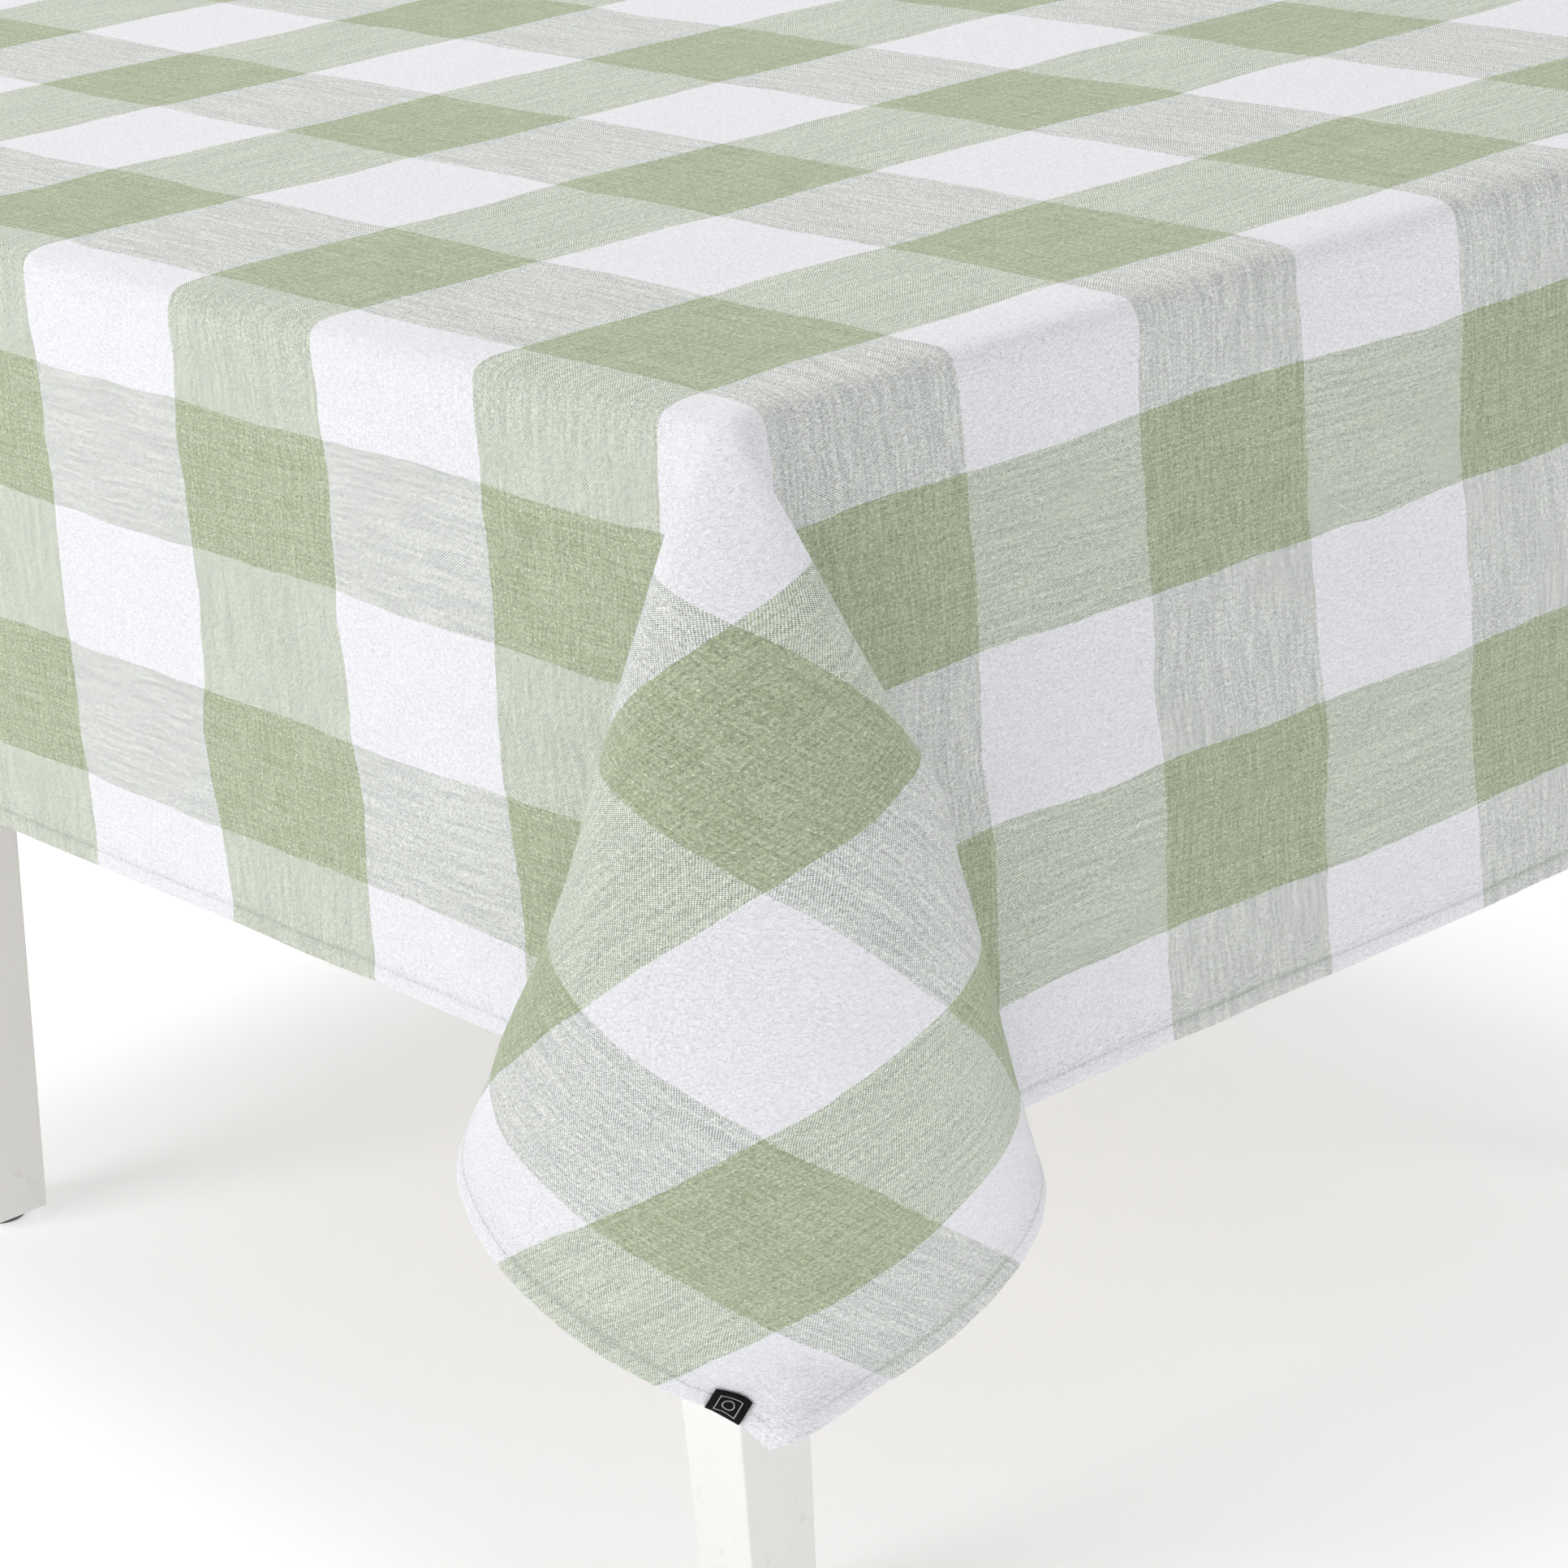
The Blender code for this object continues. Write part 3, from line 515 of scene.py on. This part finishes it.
class Finish:
    """A Principled material, with short ways to add nodes to it."""

    def __init__(self, name):
        self.material = bpy.data.materials.new(name)
        self.material.use_nodes = True
        self.tree = self.material.node_tree
        self.shader = self.tree.nodes["Principled BSDF"]

    def node(self, kind, inputs=(), **settings):
        made = self.tree.nodes.new(kind)
        for name, value in settings.items():
            setattr(made, name, value)
        for socket, value in dict(inputs).items():
            self.feed(made.inputs[socket], value)
        return made

    def feed(self, socket, value):
        """Links an output to a socket, or sets its value."""
        if isinstance(value, bpy.types.NodeSocket):
            self.tree.links.new(value, socket)
        else:
            socket.default_value = value

    def set(self, **values):
        """Sets or links the shader's sockets: words joined by _ name a socket."""
        for name, value in values.items():
            self.feed(self.shader.inputs[name.replace("_", " ")], value)

    def object_place(self):
        return self.node("ShaderNodeTexCoord").outputs["Object"]

    def uv_place(self, layer):
        return self.node("ShaderNodeUVMap", uv_map=layer).outputs[0]

    def calc(self, operation, *values):
        return self.node("ShaderNodeMath", enumerate(values), operation=operation).outputs[0]

    def weighted(self, first, first_weight, second, second_weight):
        """The sum of two values, each times its weight."""
        weighed_first = self.calc("MULTIPLY", first, first_weight)
        return self.calc("ADD", weighed_first, self.calc("MULTIPLY", second, second_weight))

    def mix(self, share, first, second, blend_type="MIX"):
        """A colour between first and second."""
        inputs = {0: share, 6: first, 7: second}
        settings = {"data_type": "RGBA", "blend_type": blend_type}
        return self.node("ShaderNodeMix", inputs, **settings).outputs[2]

    def vector(self, x, y, z=0.0):
        return self.node("ShaderNodeCombineXYZ", {0: x, 1: y, 2: z}).outputs[0]

    def split(self, vector):
        """A vector's three parts."""
        return self.node("ShaderNodeSeparateXYZ", {0: vector}).outputs

    def stretched(self, parts, per_metre):
        """A place whose parts run at different rates."""
        return self.vector(*[self.calc("MULTIPLY", *pair) for pair in zip(parts, per_metre)])

    def noise(self, place, scale, detail=2.0, roughness=0.5):
        """Noise from 0 to 1."""
        inputs = {"Vector": place, "Scale": scale, "Detail": detail, "Roughness": roughness}
        return self.node("ShaderNodeTexNoise", inputs).outputs["Fac"]

    def ramp(self, value, low, high, low_to=0.0, high_to=1.0):
        """The value with its range low to high stretched to another, and held at both ends."""
        inputs = {0: value, 1: low, 2: high, 3: low_to, 4: high_to}
        return self.node("ShaderNodeMapRange", inputs).outputs[0]

    def bump(self, height, distance, strength=1.0, under=None):
        inputs = {"Height": height, "Distance": distance, "Strength": strength}
        if under is not None:
            inputs["Normal"] = under
        return self.node("ShaderNodeBump", inputs).outputs[0]


def wavy_place(finish, place):
    """The place on the flat cloth, moved a little, so a check's sides are not quite straight."""
    drift = finish.node("ShaderNodeTexNoise", {"Vector": place, "Scale": 8.0, "Detail": 3.0})
    parts = zip(finish.split(place), finish.split(drift.outputs["Color"]), (WANDER_U, WANDER_V))
    return [
        finish.calc("ADD", straight, finish.calc("MULTIPLY_ADD", drifted, 2 * most, -most))
        for straight, drifted, most in parts
    ]


def check_stripes(finish, along, check):
    """1 on the coloured stripes across this axis, 0 on the white ones."""
    turn = finish.calc("FLOORED_MODULO", finish.calc("DIVIDE", along, check), 2.0)
    return finish.calc("LESS_THAN", turn, 1.0)


def thread_noise(finish, wavy, per_metre, layer, detail):
    """Noise drawn out along one set of threads."""
    u, v = (finish.calc("MULTIPLY", *pair) for pair in zip(wavy, per_metre))
    return finish.noise(finish.vector(u, v, layer), 1.0, detail)


def thread_colour(finish, stripe, streak, slub, colours):
    """One set of threads: each has its own shade, which changes slowly along it."""
    green, pale_green, white = colours
    shade = finish.weighted(streak, 0.65, slub, 0.35)
    return finish.mix(stripe, white, finish.mix(finish.ramp(shade, 0.42, 0.58), green, pale_green))


def over_and_under(finish, place, wavy):
    """From -1 to 1 over the weave, by which set of threads is on top at each crossing."""
    jitter = finish.noise(place, 420.0, 2.0)
    waves = []
    for along, uneven in zip(wavy, (2.2, -2.2)):
        turn = finish.calc("MULTIPLY", along, math.pi / THREAD_PITCH)
        waves.append(finish.calc("SINE", finish.calc("MULTIPLY_ADD", jitter, uneven, turn)))
    return finish.calc("MULTIPLY", *waves)


def painted_weave_shade(finish, place, crepe, grain, over, dyed):
    """Painted shade: the colour darkened in the fine crinkle's hollows and between threads, with a
    random mottle. It shows more on dyed threads.
    """
    mottle = finish.noise(place, 520.0, 2.0, 0.7)
    shade = finish.ramp(crepe, 0.30, 0.66, 0.91, 1.075)
    for part in (
        finish.ramp(grain, 0.3, 0.7, 0.88, 1.12),
        finish.ramp(over, 0.0, 0.5, 0.88, 1.06),
        finish.ramp(mottle, 0.32, 0.68, 0.85, 1.14),
    ):
        shade = finish.calc("MULTIPLY", shade, part)
    strength = finish.calc("MULTIPLY_ADD", dyed, 0.95, 0.5)
    return finish.calc("MULTIPLY_ADD", finish.calc("SUBTRACT", shade, 1.0), strength, 1.0)


def inside_edge(finish, place):
    """How far inside the cloth's nearest edge a place is."""
    middle = (STRIPES_START_U, STRIPES_START_V)
    inside = []
    for part, centre, half in zip(finish.split(place), middle, (HALF_U, HALF_V)):
        off_centre = finish.calc("ABSOLUTE", finish.calc("SUBTRACT", part, centre))
        inside.append(finish.calc("SUBTRACT", half, off_centre))
    return finish.calc("MINIMUM", *inside)


def weave_finish():
    """Plain-woven cotton in two-colour checks: threads along X in one set, along Y in the other."""
    finish = Finish("checked cotton")
    calc, mix, ramp = finish.calc, finish.mix, finish.ramp
    place = finish.uv_place("flat cloth")
    wavy = wavy_place(finish, place)
    green_y = check_stripes(finish, wavy[0], CHECK_X)
    green_x = check_stripes(finish, wavy[1], CHECK_Y)
    dyed = calc("MAXIMUM", green_x, green_y)

    # The two sets of threads, over and under each other.
    streak_y = thread_noise(finish, wavy, (STREAKS_ACROSS, STREAKS_ALONG), 0.0, 3.0)
    streak_x = thread_noise(finish, wavy, (STREAKS_ALONG, STREAKS_ACROSS), 0.0, 3.0)
    slub_y = thread_noise(finish, wavy, (SLUBS_ACROSS, SLUBS_ALONG), 5.0, 2.0)
    slub_x = thread_noise(finish, wavy, (SLUBS_ALONG, SLUBS_ACROSS), 9.0, 2.0)
    colour_y = thread_colour(finish, green_y, streak_y, slub_y, THREADS_ALONG_Y)
    colour_x = thread_colour(finish, green_x, streak_x, slub_x, THREADS_ALONG_X)
    crossing = over_and_under(finish, place, wavy)
    over = calc("ABSOLUTE", crossing)
    woven = mix(ramp(crossing, -0.52, 0.24), colour_y, colour_x)

    # Where both sets are green they blend into sage. Small pale nubs lie all over the cloth.
    heather = finish.weighted(streak_x, 0.5, streak_y, 0.5)
    pebble = finish.noise(place, 700.0, 2.0, 0.6)
    uneven = finish.weighted(heather, 0.45, pebble, 0.55)
    sage = mix(ramp(uneven, 0.38, 0.62), SAGE, PALE_SAGE)
    coloured = mix(calc("MULTIPLY", calc("MULTIPLY", green_x, green_y), 0.62), woven, sage)
    nubs = ramp(finish.noise(place, 640.0, 1.0), 0.62, 0.70, 0.0, 0.45)
    nubbed = mix(nubs, coloured, NUB_WHITE)

    crepe = finish.noise(place, 300.0, 3.0, 0.6)
    grain = finish.noise(place, 1150.0, 2.0, 0.6)
    # Painted shade from the crinkle and the weave, multiplied into the colour.
    shade = painted_weave_shade(finish, place, crepe, grain, over, dyed)
    colour_with_painted_shade = mix(1.0, nubbed, finish.vector(shade, shade, shade), "MULTIPLY")

    # A darker line where the hem is turned under: partly painted shade in the groove at the hem's
    # step, partly the turned-under edge showing through the cloth. Puckers along its stitching.
    inside = inside_edge(finish, place)
    from_line = calc("ABSOLUTE", calc("SUBTRACT", inside, HEM_WIDTH + 0.0012))
    strength = calc("MULTIPLY_ADD", dyed, 0.26, 0.10)
    line = calc("MULTIPLY", ramp(from_line, 0.0008, 0.0026, 1.0, 0.0), strength)
    colour = mix(line, colour_with_painted_shade, HEM_LINE_PAINTED_SHADE_AND_EDGE)
    from_stitches = calc("ABSOLUTE", calc("SUBTRACT", inside, HEM_WIDTH))
    near_stitches = ramp(from_stitches, 0.002, 0.016, 1.0, 0.0)
    puckers = finish.noise(place, 130.0, 2.0, 0.5)

    bumps = finish.bump(calc("MULTIPLY", puckers, near_stitches), 0.0022)
    bumps = finish.bump(crepe, 0.0016, 0.9, bumps)
    bumps = finish.bump(calc("ADD", heather, grain), 0.0006, 0.8, bumps)
    bumps = finish.bump(over, 0.00025, 0.6, bumps)
    finish.set(Base_Color=colour, Normal=bumps, Roughness=0.88)
    finish.set(Specular_IOR_Level=0.25, Sheen_Weight=0.18, Sheen_Roughness=0.45)
    return finish.material


def thread_finish():
    """Cotton sewing thread, with its twist."""
    finish = Finish("white sewing thread")
    twist = finish.noise(finish.object_place(), 2600.0, 2.0)
    share = finish.ramp(twist, 0.35, 0.65)
    colour = finish.mix(share, (0.66, 0.68, 0.63, 1), (0.86, 0.86, 0.85, 1))
    finish.set(Base_Color=colour, Normal=finish.bump(twist, 0.0002))
    finish.set(Roughness=0.7, Sheen_Weight=0.2)
    return finish.material


def label_finish():
    """Black woven ribbon with a fine border and a plain ring in white thread."""
    finish = Finish("black woven label")
    calc = finish.calc
    place = finish.uv_place("label")
    parts = finish.split(place)
    across = calc("SUBTRACT", parts[0], 0.5)
    rise = calc("SUBTRACT", parts[1], 0.5)
    ribs, rows = (calc("SINE", calc("MULTIPLY", part, 150.0)) for part in (parts[1], parts[0]))
    weave = calc("MULTIPLY", ribs, rows)

    def outline(distance, size, half_width):
        """1 on a line this far from the label's middle, 0 off it."""
        return calc("LESS_THAN", calc("ABSOLUTE", calc("SUBTRACT", distance, size)), half_width)

    squares = calc("ADD", calc("MULTIPLY", across, across), calc("MULTIPLY", rise, rise))
    ring = outline(calc("SQRT", squares), 0.16, 0.014)
    furthest = calc("MAXIMUM", calc("ABSOLUTE", across), calc("ABSOLUTE", rise))
    border = outline(furthest, 0.30, 0.012)
    mark = calc("MULTIPLY", calc("MAXIMUM", ring, border), finish.ramp(weave, -0.5, 0.3, 0.45, 1.0))
    lint = finish.noise(place, 60.0, 3.0)
    black = finish.mix(lint, (0.002, 0.002, 0.002, 1), (0.010, 0.010, 0.011, 1))
    colour = finish.mix(mark, black, (0.72, 0.72, 0.70, 1))
    height = finish.weighted(weave, 0.5, mark, 0.8)
    finish.set(Base_Color=colour, Normal=finish.bump(height, 0.0002), Roughness=0.8)
    finish.set(Specular_IOR_Level=0.08)
    return finish.material


def oak_finish(name, grain_along_y, board_width):
    """Oiled oak: pores and growth rings drawn out along the grain, and a tone for each board."""
    finish = Finish(name)
    calc = finish.calc
    parts = finish.split(finish.object_place())
    along, across = (parts[1], parts[0]) if grain_along_y else (parts[0], parts[1])
    board = calc("FLOOR", calc("DIVIDE", calc("ADD", across, EDGE_X), board_width))
    tones = finish.node("ShaderNodeTexWhiteNoise", {"W": board}, noise_dimensions="1D")
    tone = tones.outputs["Value"]
    stretched = finish.vector(
        finish.weighted(along, 0.9, tone, 7.0),
        calc("MULTIPLY", across, 11.0),
        calc("MULTIPLY", parts[2], 11.0),
    )
    rings = finish.noise(stretched, 3.2, 4.0, 0.55)
    bands = calc("FRACT", calc("MULTIPLY", rings, 9.0))
    pores = finish.noise(stretched, 46.0, 3.0, 0.65)
    ringed = finish.mix(bands, (0.56, 0.375, 0.205, 1), (0.41, 0.255, 0.125, 1))
    toned = finish.mix(calc("MULTIPLY", tone, 0.5), ringed, (0.34, 0.20, 0.095, 1))
    pored = finish.mix(finish.ramp(pores, 0.52, 0.66, 0.0, 0.7), toned, (0.19, 0.105, 0.045, 1))
    rough = finish.ramp(pores, 0.3, 0.7, 0.42, 0.6)
    finish.set(Base_Color=pored, Normal=finish.bump(pores, 0.0004, 0.5), Roughness=rough)
    return finish.material


def paint_finish():
    """White painted wood: faint brush marks, and a little grey where hands and feet rub it."""
    finish = Finish("white painted wood")
    place = finish.object_place()
    parts = finish.split(place)
    strokes = finish.noise(finish.stretched(parts, (9.0, 9.0, 1.2)), 34.0, 3.0, 0.6)
    cloudy = finish.ramp(finish.noise(place, 6.0, 3.0), 0.3, 0.7)
    scuffs = finish.ramp(finish.noise(place, 75.0, 4.0, 0.65), 0.58, 0.72)
    clean = finish.mix(cloudy, (0.83, 0.825, 0.80, 1), (0.87, 0.865, 0.845, 1))
    near_floor = finish.ramp(parts[2], 0.0, 0.12, 0.5, 0.06)
    colour = finish.mix(finish.calc("MULTIPLY", scuffs, near_floor), clean, (0.56, 0.53, 0.47, 1))
    rough = finish.ramp(strokes, 0.3, 0.7, 0.32, 0.46)
    finish.set(Base_Color=colour, Normal=finish.bump(strokes, 0.0003, 0.6), Roughness=rough)
    return finish.material


def steel_finish():
    """Zinc-plated steel: a fine spangle and a few dull patches."""
    finish = Finish("zinc plated steel")
    place = finish.object_place()
    spangle = finish.node("ShaderNodeTexVoronoi", {"Vector": place, "Scale": 420.0})
    bright = finish.split(spangle.outputs["Color"])[0]
    patches = finish.noise(place, 55.0, 3.0)
    colour = finish.mix(bright, (0.58, 0.59, 0.61, 1), (0.70, 0.71, 0.72, 1))
    rough = finish.ramp(patches, 0.35, 0.7, 0.26, 0.42)
    finish.set(Base_Color=colour, Normal=finish.bump(patches, 0.0002, 0.4))
    finish.set(Metallic=1.0, Roughness=rough)
    return finish.material


def felt_finish():
    """Grey felt: matted fibres."""
    finish = Finish("grey felt")
    place = finish.object_place()
    fibres = finish.noise(place, 900.0, 4.0, 0.7)
    tufts = finish.noise(place, 160.0, 3.0)
    colour = finish.mix(fibres, (0.07, 0.065, 0.06, 1), (0.20, 0.19, 0.18, 1))
    bumps = finish.bump(finish.calc("ADD", fibres, tufts), 0.0008)
    finish.set(Base_Color=colour, Normal=bumps, Roughness=0.95, Sheen_Weight=0.3)
    return finish.material


def finish_table():
    """Gives every visible CAD node its material."""
    plank_low, plank_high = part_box("tabletop_plank_2")
    paint, steel = paint_finish(), steel_finish()
    finishes = {
        "tabletop_plank": oak_finish("oiled oak planks", True, plank_high.x - plank_low.x),
        "tabletop_end_board": oak_finish("oiled oak end boards", False, EDGE_Y),
        "leg": paint,
        "apron": paint,
        "corner_bracket": steel,
        "hanger_bolt": steel,
        "hex_nut": steel,
        "top_clip": steel,
        "clip_screw": steel,
        "foot_glide": felt_finish(),
    }
    for name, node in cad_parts.items():
        for start, material in finishes.items():
            if name.startswith(start):
                node.data.materials.clear()
                node.data.materials.append(material)


# The studio


def make_floor():
    """A wide pale floor."""
    maker = bmesh.new()
    bmesh.ops.create_grid(maker, x_segments=1, y_segments=1, size=14.0)
    finish = Finish("pale floor")
    cloudy = finish.noise(finish.object_place(), 1.3, 3.0)
    colour = finish.mix(cloudy, (0.93, 0.93, 0.93, 1), (0.95, 0.95, 0.95, 1))
    finish.set(Base_Color=colour, Roughness=0.9)
    finish.set(Emission_Color=(0.93, 0.965, 1, 1), Emission_Strength=0.36)
    new_object("floor", maker, finish.material)


def add_area_light(name, place, target, size, power):
    """A square white lamp that points at its target."""
    data = bpy.data.lights.new(name, "AREA")
    data.shape = "SQUARE"
    data.size = size
    data.energy = power
    light = bpy.data.objects.new(name, data)
    light.location = place
    light.rotation_euler = (Vector(target) - Vector(place)).to_track_quat("-Z", "Y").to_euler()
    bpy.context.scene.collection.objects.link(light)


def make_light():
    """White surroundings, a window on each side of the camera and a lamp overhead."""
    world = bpy.data.worlds.new("white studio")
    world.use_nodes = True
    background = world.node_tree.nodes["Background"]
    background.inputs["Color"].default_value = (0.98, 0.985, 1.0, 1)
    background.inputs["Strength"].default_value = 0.62
    bpy.context.scene.world = world
    add_area_light("left window", (-4.6, 1.3, 1.9), (0, 0, 0.5), 2.6, 84)
    add_area_light("right window", (1.9, -4.6, 1.9), (0, 0, 0.5), 2.6, 33)
    add_area_light("overhead", (-0.2, 0.8, 4.2), (0, 0, 0.7), 3.0, 62)


def make_camera():
    """Looks down on the front left corner from standing height, tilted a little."""
    heading, pitch, roll = (math.radians(turn) for turn in (50.038, 20.214, -4.2307))
    data = bpy.data.cameras.new("camera")
    data.sensor_width = 36.0
    data.lens = 102.48
    data.clip_end = 100.0
    camera = bpy.data.objects.new("camera", data)
    level = Vector((math.cos(heading), math.sin(heading), 0))
    forward = level * math.cos(pitch) - Vector((0, 0, math.sin(pitch)))
    right = forward.cross(Vector((0, 0, 1))).normalized()
    up = right.cross(forward)
    tilted_right = right * math.cos(roll) + up * math.sin(roll)
    tilted_up = up * math.cos(roll) - right * math.sin(roll)
    turn = Matrix((tilted_right, tilted_up, -forward)).transposed().to_4x4()
    camera.matrix_world = Matrix.Translation((-1.7038, -2.0378, 1.2614)) @ turn
    bpy.context.scene.collection.objects.link(camera)
    bpy.context.scene.camera = camera


cotton = weave_finish()
tablecloth = make_sheet(cotton)
hem = make_hem(cotton)
stitching = make_stitching(thread_finish())
label = make_label(tablecloth, hem, label_finish())
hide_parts(*[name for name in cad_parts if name.startswith("cloth_")])
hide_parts("label")
finish_table()
make_floor()
make_light()
make_camera()
bpy.context.scene.view_settings.view_transform = "Standard"
